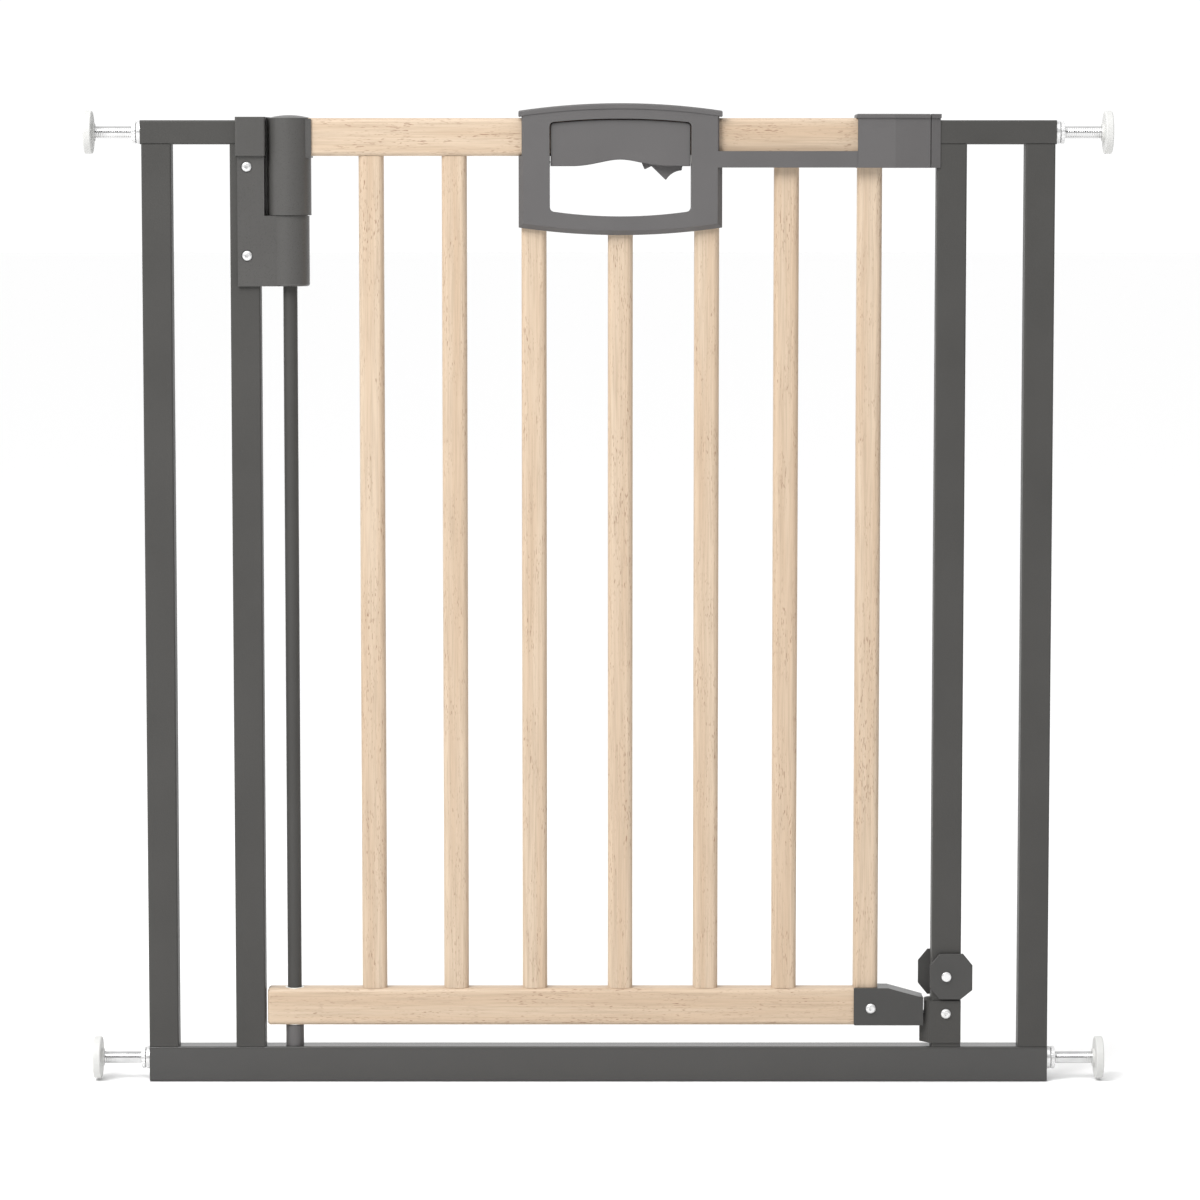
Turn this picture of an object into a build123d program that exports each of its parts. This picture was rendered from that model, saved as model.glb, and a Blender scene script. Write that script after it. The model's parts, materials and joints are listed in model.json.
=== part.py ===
"""Pressure-fit safety gate with a wooden door that lifts and swings on a hinge rod.

Millimetres. X runs along the gate to the right, Y to the back and Z up. The origin is on the
floor, half way along the gate and half way through its depth.
"""
from build123d import *
import os

# ---- Steel frame -------------------------------------------------------------------------------
frame_width = 765.0
frame_height = 815.0
tube_depth = 20.0
tube_wall = 1.2
tube_radius = 1.5
post_width = 25.0
bottom_rail_height = 30.0
top_rail_height = 20.0
side_panel_pitch = 74.0  # between the centres of an outer post and the inner post beside it
rail_overhang = 1.0  # of a top rail past its outer post

# ---- Wall spindles -----------------------------------------------------------------------------
spindle_diameter = 10.0
spindle_length = 90.0
spindle_reach = 48.0  # from the frame's side to the wall
bottom_spindle_height = 19.0
pad_diameter = 36.0
pad_thickness = 6.5
pad_hub_wall = 2.5
pad_hub_height = 2.0
pad_socket_depth = 4.0
pad_rounding = 1.2
nut_wall = 4.5
nut_thickness = 3.4
nut_knurls = 24
knurl_radius = 0.6
knurl_shift = 0.2  # of a knurl's centre outside the nut's rim
ring_rounding = 0.8  # of the nuts and of the inserts' flanges
insert_flange = 3.4
insert_plug_length = 14.0

# ---- Door, wooden pieces -----------------------------------------------------------------------
door_centre = 18.5  # of the handle and slats, to the right of the frame's centre
wood_height = 31.5
wood_depth = 20.0
wood_radius = 4.0
wood_end_radius = 2.5
wood_rise = 1.8  # of the top rail above the frame
wood_post_gap = 2.0  # from the bottom rail's left end to the post
door_gap = 18.5  # under the bottom rail
slat_width = 21.0
slat_depth = 15.0
slat_radius = 5.0
slat_tenon = 8.0
tenon_inset = 1.6

# ---- Hinge -------------------------------------------------------------------------------------
hinge_offset = 24.5  # from the inner post's face to the rod's centre
rod_diameter = 12.0
rod_drop = 16.8  # from the top rail's top to the rod's
rod_foot_gap = 2.2  # from the frame's bottom rail to the rod's lower end
guide_wall = 3.0  # of the tube round the rod inside the sleeve
sleeve_diameter = 36.4
sleeve_wall = 2.5
sleeve_roof = 4.0
sleeve_rib = 1.6
sleeve_ribs = 6
sleeve_drop = 0.6  # from the top rail's top to the sleeve's
strap_thickness = 1.6  # round the top rail's end
strap_reach = 0.7  # past the sleeve
barrel_diameter = 33.0
barrel_height = 59.0
barrel_drop = 49.9  # from the top rail's underside to the lower barrel
barrel_floor = 6.0
barrel_rounding = 2.0
barrel_rim_height = 1.6  # of the rim that stands inside the sleeve
barrel_rim_wall = 2.0
hinge_cap_height = 3.2
hinge_cap_dome = 3.5  # its radius, as a multiple of the sleeve's
bracket_thickness = 3.0
bracket_cap_thickness = 6.0
bracket_reach = 6.0  # of the saddle, left of the post's centre
bracket_cap_reach = 7.5
bracket_gap = 2.3  # between the saddle and the sleeve
bracket_cap_gap = 1.2  # between its cap and the sleeve
bracket_rise = 2.7  # above the frame
hinge_screw_shift = 1.9  # right of the post's centre
hinge_screw_rise = 25.6  # above the barrel's bottom
hinge_screw_drop = 9.1  # below the bracket's cap
hinge_screw_sink = 1.0
hinge_screw_ring = 0.7  # of the sink, round the screw's head
foot_bush_wall = 1.6
foot_spigot_radius = 5.0
foot_spigot_height = 4.0
rail_bush_wall = 2.0
rail_bush_length = 10.0
collar_height = 10.0
spring_wire = 1.0  # radius
spring_gap = 2.6  # between the closing spring and the rod
closing_turns = 8

# ---- Handle ------------------------------------------------------------------------------------
handle_half_width = 85.2
handle_neck_inset = 2.6  # beside the wooden rail
handle_slat_inset = 12.7  # of the outer slats that end in the handle
handle_wall = 2.5
handle_skin = 1.0  # left outside the ring and the bosses
handle_rise = 12.2  # above the top rail
handle_foot = 15.6  # below the grip
handle_curve = 577.0  # radius of the handle's top and bottom edges
handle_bevel = (5.0, 4.0)
handle_cap_height = 4.5
handle_cap_overhang = 0.8
handle_cap_rounding = 1.5
grip_side = 25.9  # from the handle's side to the grip opening
grip_room = 50.5  # below the top rail
grip_radius = 4.0
grip_curve = 406.0
slat_end_gap = 1.0
boss_radius = 4.0
boss_rises = (10.2, 32.2)  # above the grip's bottom
handle_screw_radius = 1.5
handle_screw_head = 2.8
handle_screw_reach = 9.0  # in front of the middle
handle_screw_sink = 3.0

# ---- Slider and trigger ------------------------------------------------------------------------
slider_gap = 0.6  # below the grip opening's top
slider_side_gap = 0.8
slider_face_gap = 0.3  # to the handle's inside
slider_rail_gap = 1.8  # to the wooden rail
slider_wall = 2.4
slider_drop = 8.5  # below the top rail
slider_waist_drop = 3.0
slider_corner = 3.0
slider_wave_inset = 17.5
slider_rounding = 0.8
slider_travel = 8.0  # to the left, when the latch is pulled back
trigger_depth = 12.0
trigger_pivot_inset = 32.4  # from the slider's right side
trigger_pivot_drop = 3.1  # below the top rail
trigger_pin_radius = 1.2
trigger_pin_half_length = 10.0
trigger_boss_radius = 2.3
trigger_rounding = 0.7
trigger_side_gap = 0.4
trigger_room_ends = (-9.8, 27.2)  # from the pivot
# the trigger's outline from its pivot: tail, small rest, notch, peak, hollow and heel
trigger_tail = (-8.6, -1.6)
trigger_small_rest = (-5.8, -8.2)
trigger_notch = (0.0, -5.4)
trigger_peak = (12.1, -17.1)
trigger_hollow = (17.6, -11.4)
trigger_heel = (25.2, -9.0)
trigger_heel_top = (26.4, -2.4)
return_wire = 0.4  # radius
return_radius = 2.4
return_turns = 9
return_rise = 4.0  # above the slider's underside
return_end_gap = 0.2

# ---- Pull rod, latch and keeper ----------------------------------------------------------------
cover_drop = 9.8  # below the top rail
cover_height = 13.7
cover_wall = 1.2
pull_rod_gap = 1.2  # to the wooden rail
pull_rod_thickness = 2.4
pull_rod_height = 7.0
pull_rod_rise = 3.5  # above the cover's underside
pull_rod_socket = 6.0  # into the slider
rod_way_gap = 0.6
housing_gap = 5.9  # from the housing to the lock post
housing_length = 60.6
housing_drop = 9.9  # below the top rail
housing_side = 8.0  # outside the wooden rail
housing_end_side = 3.5
housing_wall = 2.5
housing_slant_start = 31.0  # from the housing's left end
housing_rib = 2.0
housing_rib_starts = (5.0, 27.0)
housing_guide = 2.5
housing_guide_inset = 11.0
housing_screw_rise = 15.0
housing_screw_head = (3.0, 1.2)  # radius and height
cap_height = 3.3
cap_overhang = 1.3
cap_chamfer = 0.8
bolt_length = 24.7
bolt_height = 10.0
bolt_width = 10.0
bolt_rise = 4.7  # above the top rail's underside
bolt_post_gap = 0.3
bolt_play = 0.6
crank_length = 6.0
keeper_gap = 0.7  # to the housing
keeper_grasp = 2.7  # round the lock post
keeper_side = 0.8  # outside the lock post
keeper_screw_rise = 7.0
lift_travel = 12.0

# ---- Bottom arm, catch and direction stop ------------------------------------------------------
sheet = 1.5
arm_inset = 0.4  # from the housing's left end
arm_post_gap = 7.0
arm_slope_start = 29.4  # from the arm's left end
arm_slope_drop = 8.2
arm_rise = 0.6  # above the wooden rail
arm_lift = 0.1  # of its underside above the rail's
arm_wood_length = 28.6  # of rail inside the arm
arm_rounding = 1.5
arm_screw_place = (14.4, 14.7)  # from the arm's left end and the rail's underside
catch_gap = 3.6  # above the frame's bottom rail
catch_drop = 10.3  # below the wooden rail's top
nose_rise = 10.1  # above the wooden rail's underside
nose_post_gap = 9.3
nose_half_width = 2.4
nose_gap = 1.8  # from the arm's end to the catch's body
nose_rounding = 1.2
catch_screw_drop = 11.0
stop_shift = 0.2  # of the pivot, left of the post's centre
post_lip = 1.6  # of the catch and of a stop plate, past the post's face
stop_far = 22.2
stop_half_height = 19.5
stop_catch_gap = 1.8
stop_chamfer = (8.0, 9.8)
stop_rounding = 0.8
stop_thickness = 2.5
stop_gap = 2.0  # from the post's face to a plate
stop_arm_gap = 0.5
stop_shaft_radius = 3.2
stop_bush_wall = 1.5
stop_flange_radius = 8.0
stop_bush_gap = 0.5  # between the middle and a half bush

# ---- Fits and screws ---------------------------------------------------------------------------
running_fit = 0.05  # radial, of a shaft in its bore
clearance = 0.4  # between pieces that move past each other
screw_head_radius = 4.2
screw_head_height = 2.2
screw_head_rounding = 1.2
screw_radius = 2.0
screw_length = 8.0
screw_socket_radius = 1.4
screw_socket_floor = 0.9
screw_recess_gap = 0.3
end_chamfer = 0.8  # of rods and spindles

# ---- Worked out from the sizes above -----------------------------------------------------------
half_width = frame_width / 2
half_depth = tube_depth / 2
plug_depth = tube_depth - 2 * tube_wall
outer_post_x = half_width - post_width / 2
inner_post_x = outer_post_x - side_panel_pitch
inner_face = inner_post_x - post_width / 2
post_top = frame_height - top_rail_height
top_spindle_height = frame_height - top_rail_height / 2

spindle_bore = spindle_diameter / 2 + running_fit
pad_hub_radius = spindle_diameter / 2 + pad_hub_wall
nut_radius = spindle_diameter / 2 + nut_wall
wall_face = half_width + spindle_reach
pad_back = wall_face - pad_thickness
spindle_tip = pad_back + pad_socket_depth

top_wood_top = frame_height + wood_rise
top_wood_bottom = top_wood_top - wood_height
bottom_wood_bottom = bottom_rail_height + door_gap
bottom_wood_top = bottom_wood_bottom + wood_height
wood_half_depth = wood_depth / 2

hinge_x = -inner_face + hinge_offset
rod_radius = rod_diameter / 2
rod_bore = rod_radius + running_fit
guide_radius = rod_radius + guide_wall
sleeve_radius = sleeve_diameter / 2
sleeve_top = top_wood_top - sleeve_drop
strap_right = hinge_x + sleeve_radius + strap_reach
strap_half_depth = wood_half_depth + strap_thickness
barrel_radius = barrel_diameter / 2
barrel_top = top_wood_bottom - barrel_drop
barrel_bottom = barrel_top - barrel_height
sleeve_bottom = barrel_top + clearance
closing_radius = rod_radius + spring_gap + spring_wire
spring_bore = closing_radius + spring_wire + spring_gap - 2 * running_fit
bracket_left = -inner_post_x - bracket_reach
bracket_cap_left = -inner_post_x - bracket_cap_reach
hinge_screw_x = -inner_post_x + hinge_screw_shift
hinge_screw_heights = (barrel_bottom + hinge_screw_rise, top_wood_bottom - hinge_screw_drop)
rail_bush_radius = rod_radius + rail_bush_wall

handle_neck_half_width = handle_half_width - handle_neck_inset
grip_half_width = handle_half_width - grip_side
slider_half_depth = wood_half_depth + slider_rail_gap + slider_wall
handle_half_depth = slider_half_depth + slider_face_gap + handle_wall
handle_top = top_wood_top + handle_rise
grip_top = top_wood_top - sleeve_drop
grip_bottom = top_wood_bottom - grip_room
handle_bottom = grip_bottom - handle_foot
handle_slat_top = grip_bottom - handle_wall - slat_end_gap
boss_heights = [grip_bottom + rise for rise in boss_rises]
boss_places = [door_centre + side * (grip_half_width + handle_neck_half_width) / 2 for side in (-1, 1)]

slider_half_width = grip_half_width - slider_side_gap
slider_left = door_centre - slider_half_width
slider_right = door_centre + slider_half_width
slider_top = grip_top - slider_gap
slider_low = top_wood_bottom - slider_drop
slider_waist = top_wood_bottom - slider_waist_drop
pivot_x = slider_right - trigger_pivot_inset
pivot_z = top_wood_bottom - trigger_pivot_drop

cover_bottom = top_wood_bottom - cover_drop
cover_top = cover_bottom + cover_height
pull_rod_front = -wood_half_depth - pull_rod_gap - pull_rod_thickness
pull_rod_depth = (pull_rod_front, pull_rod_front + pull_rod_thickness)
pull_rod_bottom = cover_bottom + pull_rod_rise
pull_rod_top = pull_rod_bottom + pull_rod_height

housing_right = inner_face - housing_gap
housing_left = housing_right - housing_length
housing_bottom = top_wood_bottom - housing_drop
housing_break = housing_left + housing_slant_start
housing_half_depth = wood_half_depth + housing_side
housing_end_half_depth = wood_half_depth + housing_end_side
bolt_tip = inner_face - bolt_post_gap
bolt_back = bolt_tip - bolt_length
bolt_bottom = top_wood_bottom + bolt_rise
bolt_top = bolt_bottom + bolt_height
keeper_left = housing_right + keeper_gap
keeper_screw_height = housing_bottom + keeper_screw_rise
lock_slat_x = housing_left + slat_width / 2
housing_screw_height = top_wood_bottom + housing_screw_rise

# the slats' places from the door's centre: three end in the handle, and the last is under the lock
outer_slat_shift = lock_slat_x - door_centre
handle_slat_shift = handle_half_width - handle_slat_inset
slat_side = (handle_slat_shift, outer_slat_shift * 2 / 3, outer_slat_shift)
slat_offsets = [-shift for shift in reversed(slat_side)] + [0.0] + list(slat_side)
handle_slats = [shift for shift in slat_offsets if abs(shift) < handle_half_width]

arm_left = housing_left + arm_inset
arm_right = inner_face - arm_post_gap
arm_bottom = bottom_wood_bottom + arm_lift
arm_top = bottom_wood_top + arm_rise
arm_end_top = arm_top - arm_slope_drop
arm_bend = arm_left + arm_slope_start
arm_half_depth = wood_half_depth + sheet
arm_screw_x = arm_left + arm_screw_place[0]
arm_screw_height = bottom_wood_bottom + arm_screw_place[1]
catch_bottom = bottom_rail_height + catch_gap
catch_top = bottom_wood_top - catch_drop
catch_half_depth = half_depth + sheet
nose_top = bottom_wood_bottom + nose_rise
nose_tip = inner_face - nose_post_gap
stop_x = inner_post_x - stop_shift
stop_near = stop_x - inner_face + post_lip
stop_height = catch_top + stop_catch_gap + stop_half_height
catch_screw_height = catch_top - catch_screw_drop
stop_inner = max(half_depth + stop_gap, arm_half_depth + stop_arm_gap)
stop_bush_radius = stop_shaft_radius + stop_bush_wall

top_wood_ends = (hinge_x + guide_radius, housing_break)
bottom_wood_ends = (wood_post_gap - inner_face, arm_left + arm_wood_length)

os.makedirs("parts", exist_ok=True)


def block(x, y, z, mode=Mode.ADD):
    """A box between the two limits given on each axis, for the part being built."""
    with Locations((sum(x) / 2, sum(y) / 2, sum(z) / 2)):
        Box(x[1] - x[0], y[1] - y[0], z[1] - z[0], mode=mode)


def rod_along_y(x, z, radius, y, mode=Mode.ADD):
    """A round bar along Y between the two limits y, for the part being built."""
    with Locations(Location((x, sum(y) / 2, z), (90, 0, 0))):
        Cylinder(radius, y[1] - y[0], mode=mode)


def rod_along_x(y, z, radius, x, mode=Mode.ADD):
    """A round bar along X between the two limits x, for the part being built."""
    with Locations(Location((sum(x) / 2, y, z), (0, 90, 0))):
        Cylinder(radius, x[1] - x[0], mode=mode)


def upright(x, y, radius, z, mode=Mode.ADD):
    """A round bar along Z between the two limits z, for the part being built."""
    with Locations((x, y, sum(z) / 2)):
        Cylinder(radius, z[1] - z[0], mode=mode)


def save(part, name):
    """Label a finished piece and write it to its file."""
    part.label = name
    export_step(part, f"parts/{name}.step")


# ---- Steel frame -------------------------------------------------------------------------------
# Bottom rail: a tube the whole width of the frame, open at both ends.
with BuildPart() as bottom_rail:
    with BuildSketch(Plane.YZ.offset(-half_width)):
        with Locations((0, bottom_rail_height / 2)):
            RectangleRounded(tube_depth, bottom_rail_height, tube_radius)
            RectangleRounded(
                tube_depth - 2 * tube_wall,
                bottom_rail_height - 2 * tube_wall,
                tube_radius / 2,
                mode=Mode.SUBTRACT,
            )
    extrude(amount=frame_width)
    upright(hinge_x, 0, foot_spigot_radius, (bottom_rail_height / 2, bottom_rail_height), Mode.SUBTRACT)
save(bottom_rail.part, "bottom_rail")

# Posts: tubes that stand on the bottom rail and end under the top rails.
posts = {
    "outer_post_left": -outer_post_x,
    "inner_post_left": -inner_post_x,
    "inner_post_right": inner_post_x,
    "outer_post_right": outer_post_x,
}
for name, post_x in posts.items():
    with BuildPart() as post:
        with BuildSketch(Plane.XY.offset(bottom_rail_height)):
            with Locations((post_x, 0)):
                RectangleRounded(post_width, tube_depth, tube_radius)
                RectangleRounded(
                    post_width - 2 * tube_wall,
                    tube_depth - 2 * tube_wall,
                    tube_radius / 2,
                    mode=Mode.SUBTRACT,
                )
        extrude(amount=post_top - bottom_rail_height)
        if name == "inner_post_left":
            for height in hinge_screw_heights:
                rod_along_y(hinge_screw_x, height, screw_radius, (-half_depth, 0), Mode.SUBTRACT)
        if name == "inner_post_right":
            rod_along_y(stop_x, stop_height, stop_bush_radius, (-half_depth, half_depth), Mode.SUBTRACT)
            rod_along_y(stop_x, catch_screw_height, screw_radius, (-half_depth, 0), Mode.SUBTRACT)
            rod_along_x(0, keeper_screw_height, screw_radius, (inner_face, inner_post_x), Mode.SUBTRACT)
    save(post.part, name)

# Top rails: short tubes, each across the tops of its two posts.
for name, side in (("top_rail_left", -1), ("top_rail_right", 1)):
    rail_ends = sorted((side * inner_face, side * (half_width + rail_overhang)))
    with BuildPart() as top_rail:
        with BuildSketch(Plane.YZ.offset(rail_ends[0])):
            with Locations((0, top_spindle_height)):
                RectangleRounded(tube_depth, top_rail_height, tube_radius)
                RectangleRounded(
                    tube_depth - 2 * tube_wall,
                    top_rail_height - 2 * tube_wall,
                    tube_radius / 2,
                    mode=Mode.SUBTRACT,
                )
        extrude(amount=rail_ends[1] - rail_ends[0])
    save(top_rail.part, name)

# Inserts: a plug in each rail end with a round flange outside, bored for the spindle.
inserts = {
    "top_inserts": (half_width + rail_overhang, top_rail_height, top_spindle_height, top_spindle_height),
    "bottom_inserts": (half_width, bottom_rail_height, bottom_rail_height / 2, bottom_spindle_height),
}
for name, (rail_end, rail_height, rail_centre, axis_height) in inserts.items():
    with BuildPart() as insert_pair:
        for side in (-1, 1):
            with BuildSketch(Plane.YZ.offset(side * (rail_end - insert_plug_length))):
                with Locations((0, rail_centre)):
                    RectangleRounded(plug_depth, rail_height - 2 * tube_wall, tube_radius / 2)
            extrude(amount=side * insert_plug_length)
            flange = sorted((side * rail_end, side * (rail_end + insert_flange)))
            rod_along_x(0, axis_height, nut_radius, flange)
            bore = sorted((side * (rail_end - insert_plug_length), side * (rail_end + insert_flange)))
            rod_along_x(0, axis_height, spindle_bore, bore, Mode.SUBTRACT)
        rims = insert_pair.edges().filter_by(GeomType.CIRCLE)
        flange_rims = rims.filter_by(lambda rim: abs(rim.radius - nut_radius) < running_fit)
        outer_rims = flange_rims.filter_by(lambda rim: abs(rim.center().X) > rail_end + insert_flange / 2)
        fillet(outer_rims, ring_rounding)
    save(insert_pair.part, name)

# ---- Wall spindles -----------------------------------------------------------------------------
corners = {
    "top_left": (-1, half_width + rail_overhang, top_spindle_height),
    "top_right": (1, half_width + rail_overhang, top_spindle_height),
    "bottom_left": (-1, half_width, bottom_spindle_height),
    "bottom_right": (1, half_width, bottom_spindle_height),
}
for corner, (side, rail_end, axis_height) in corners.items():
    with BuildPart() as spindle:
        rod_ends = sorted((side * spindle_tip, side * (spindle_tip - spindle_length)))
        rod_along_x(0, axis_height, spindle_diameter / 2, rod_ends)
        chamfer(spindle.edges().filter_by(GeomType.CIRCLE), end_chamfer)
    save(spindle.part, f"spindle_{corner}")

    with BuildPart() as pad:
        rod_along_x(0, axis_height, pad_diameter / 2, sorted((side * pad_back, side * wall_face)))
        fillet(pad.edges().filter_by(GeomType.CIRCLE), pad_rounding)
        hub = sorted((side * pad_back, side * (pad_back - pad_hub_height)))
        rod_along_x(0, axis_height, pad_hub_radius, hub)
        socket = sorted((side * spindle_tip, side * (pad_back - pad_hub_height)))
        rod_along_x(0, axis_height, spindle_diameter / 2, socket, Mode.SUBTRACT)
    save(pad.part, f"pad_{corner}")

    with BuildPart() as nut:
        nut_start = rail_end + insert_flange + clearance
        nut_ends = sorted((side * nut_start, side * (nut_start + nut_thickness)))
        rod_along_x(0, axis_height, nut_radius, nut_ends)
        fillet(nut.edges().filter_by(GeomType.CIRCLE), ring_rounding)
        rod_along_x(0, axis_height, spindle_bore, nut_ends, Mode.SUBTRACT)
        with Locations(Location(((nut_ends[0] + nut_ends[1]) / 2, 0, axis_height), (0, 90, 0))):
            with PolarLocations(nut_radius + knurl_shift, nut_knurls):
                Cylinder(knurl_radius, nut_thickness, mode=Mode.SUBTRACT)
    save(nut.part, f"nut_{corner}")

# ---- Hinge, fixed side -------------------------------------------------------------------------
# Bracket: a saddle round the inner post, a thicker cap over the joint with the top rail, a hollow
# web behind the sleeve, and the lower barrel that carries the rod and the closing spring.
saddle_depth = half_depth + bracket_thickness
cap_depth = half_depth + bracket_cap_thickness
saddle_right = hinge_x - sleeve_radius - bracket_gap
hinge_screw_seat = hinge_screw_sink - saddle_depth
bracket_top = frame_height + bracket_rise
web_right = hinge_x - strap_half_depth - strap_thickness
with BuildPart() as hinge_bracket:
    block((bracket_left, saddle_right), (-saddle_depth, saddle_depth), (barrel_bottom, top_wood_bottom))
    cap_right = hinge_x - sleeve_radius - bracket_cap_gap
    block((bracket_cap_left, cap_right), (-cap_depth, cap_depth), (top_wood_bottom, bracket_top))
    upright_edges = hinge_bracket.edges().filter_by(Axis.Z)
    fillet(upright_edges.filter_by(lambda edge: edge.center().Z > top_wood_bottom), tube_radius)
    block((-inner_face, hinge_x), (-saddle_depth, saddle_depth), (barrel_bottom, barrel_top))
    upright(hinge_x, 0, barrel_radius, (barrel_bottom, barrel_top))
    fillet(hinge_bracket.edges().filter_by(GeomType.CIRCLE).group_by(Axis.Z)[0], barrel_rounding)
    block((saddle_right, web_right), (clearance, saddle_depth), (barrel_top, top_wood_bottom))
    block((cap_right, web_right), (clearance, cap_depth), (top_wood_bottom, bracket_top))
    upright(hinge_x, 0, sleeve_radius + clearance, (barrel_top, bracket_top), Mode.SUBTRACT)
    rim_top = barrel_top + barrel_rim_height
    upright(hinge_x, 0, spring_bore + barrel_rim_wall, (barrel_top, rim_top))
    upright(hinge_x, 0, spring_bore, (barrel_bottom + barrel_floor, rim_top), Mode.SUBTRACT)
    upright(hinge_x, 0, rod_bore, (barrel_bottom, barrel_top), Mode.SUBTRACT)
    block((-half_width, -inner_face), (-half_depth, half_depth), (barrel_bottom, frame_height), Mode.SUBTRACT)
    for height in hinge_screw_heights:
        rod_along_y(hinge_screw_x, height, screw_radius, (-saddle_depth, 0), Mode.SUBTRACT)
        sink = (-saddle_depth, hinge_screw_seat)
        rod_along_y(hinge_screw_x, height, screw_head_radius + hinge_screw_ring, sink, Mode.SUBTRACT)
save(hinge_bracket.part, "hinge_bracket")

# Foot bush: a collar on the bottom rail with a spigot through the rail's top wall.
with BuildPart() as foot_bush:
    bush_top = bottom_wood_bottom - clearance
    upright(hinge_x, 0, rod_radius + foot_bush_wall, (bottom_rail_height, bush_top))
    fillet(foot_bush.edges().group_by(Axis.Z)[-1], foot_bush_wall / 2)
    spigot = (bottom_rail_height - foot_spigot_height, bottom_rail_height)
    upright(hinge_x, 0, foot_spigot_radius, spigot)
    bore_floor = bottom_rail_height + rod_foot_gap - clearance / 2
    upright(hinge_x, 0, rod_bore, (bore_floor, bush_top), Mode.SUBTRACT)
save(foot_bush.part, "foot_bush")

# ---- Hinge rod ---------------------------------------------------------------------------------
with BuildPart() as hinge_rod:
    upright(hinge_x, 0, rod_radius, (bottom_rail_height + rod_foot_gap, top_wood_top - rod_drop))
    chamfer(hinge_rod.edges().filter_by(GeomType.CIRCLE), end_chamfer)
save(hinge_rod.part, "hinge_rod")

# Collar: pinned to the rod in the mouth of the lower barrel.
collar_bottom = barrel_top - collar_height
with BuildPart() as rod_collar:
    upright(hinge_x, 0, spring_bore - clearance, (collar_bottom, barrel_top - clearance))
    fillet(rod_collar.edges().filter_by(GeomType.CIRCLE), clearance)
    upright(hinge_x, 0, rod_radius, (collar_bottom, barrel_top), Mode.SUBTRACT)
save(rod_collar.part, "rod_collar")

# Closing spring: a coil round the rod, between the barrel's floor and the collar.
with BuildPart() as closing_spring:
    coil_start = barrel_bottom + barrel_floor + 2 * spring_wire
    coil_height = collar_bottom - coil_start - 2 * spring_wire
    with BuildLine() as coil:
        Helix(coil_height / closing_turns, coil_height, closing_radius, center=(hinge_x, 0, coil_start))
    with BuildSketch(Plane(coil.line @ 0, z_dir=coil.line % 0)):
        Circle(spring_wire)
    sweep(path=coil.line, is_frenet=True)
save(closing_spring.part, "closing_spring")

# ---- Door, wooden pieces -----------------------------------------------------------------------
# Rails: rounded bars, with mortises for the slats' tenons. The handle clasps the top rail.
with BuildPart() as top_wood_rail:
    with BuildSketch(Plane.YZ.offset(top_wood_ends[0])):
        with Locations((0, top_wood_bottom + wood_height / 2)):
            RectangleRounded(wood_depth, wood_height, wood_radius)
    extrude(amount=top_wood_ends[1] - top_wood_ends[0])
    for shift in slat_offsets:
        if shift not in handle_slats:
            mortise_x = door_centre + shift
            block(
                (mortise_x - slat_width / 2 + tenon_inset, mortise_x + slat_width / 2 - tenon_inset),
                (tenon_inset - slat_depth / 2, slat_depth / 2 - tenon_inset),
                (top_wood_bottom, top_wood_bottom + slat_tenon),
                Mode.SUBTRACT,
            )
save(top_wood_rail.part, "top_wood_rail")

with BuildPart() as bottom_wood_rail:
    with BuildSketch(Plane.YZ.offset(bottom_wood_ends[0])):
        with Locations((0, bottom_wood_bottom + wood_height / 2)):
            RectangleRounded(wood_depth, wood_height, wood_radius)
    extrude(amount=bottom_wood_ends[1] - bottom_wood_ends[0])
    fillet(bottom_wood_rail.edges().group_by(Axis.X)[0], wood_end_radius)
    for shift in slat_offsets:
        mortise_x = door_centre + shift
        block(
            (mortise_x - slat_width / 2 + tenon_inset, mortise_x + slat_width / 2 - tenon_inset),
            (tenon_inset - slat_depth / 2, slat_depth / 2 - tenon_inset),
            (bottom_wood_top - slat_tenon, bottom_wood_top),
            Mode.SUBTRACT,
        )
    upright(hinge_x, 0, rail_bush_radius, (bottom_wood_bottom, bottom_wood_top), Mode.SUBTRACT)
    # a shallow rebate lets the arm's top lie flush with the wood
    block(
        (arm_left, bottom_wood_ends[1]),
        (-wood_half_depth, wood_half_depth),
        (arm_top - sheet, bottom_wood_top),
        Mode.SUBTRACT,
    )
    pilot = (-wood_half_depth, screw_length - arm_half_depth)
    rod_along_y(arm_screw_x, arm_screw_height, screw_radius, pilot, Mode.SUBTRACT)
save(bottom_wood_rail.part, "bottom_wood_rail")

# Slats: those in the middle end in the handle, and the others reach the top rail.
for number, shift in enumerate(slat_offsets, start=1):
    slat_x = door_centre + shift
    in_handle = shift in handle_slats
    slat_top = handle_slat_top if in_handle else top_wood_bottom
    with BuildPart() as slat:
        with BuildSketch(Plane.XY.offset(bottom_wood_top)):
            with Locations((slat_x, 0)):
                RectangleRounded(slat_width, slat_depth, slat_radius)
        extrude(amount=slat_top - bottom_wood_top)
        tenon_top = slat_top if in_handle else slat_top + slat_tenon
        block(
            (slat_x - slat_width / 2 + tenon_inset, slat_x + slat_width / 2 - tenon_inset),
            (tenon_inset - slat_depth / 2, slat_depth / 2 - tenon_inset),
            (bottom_wood_top - slat_tenon, tenon_top),
        )
    save(slat.part, f"slat_{number}")

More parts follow.
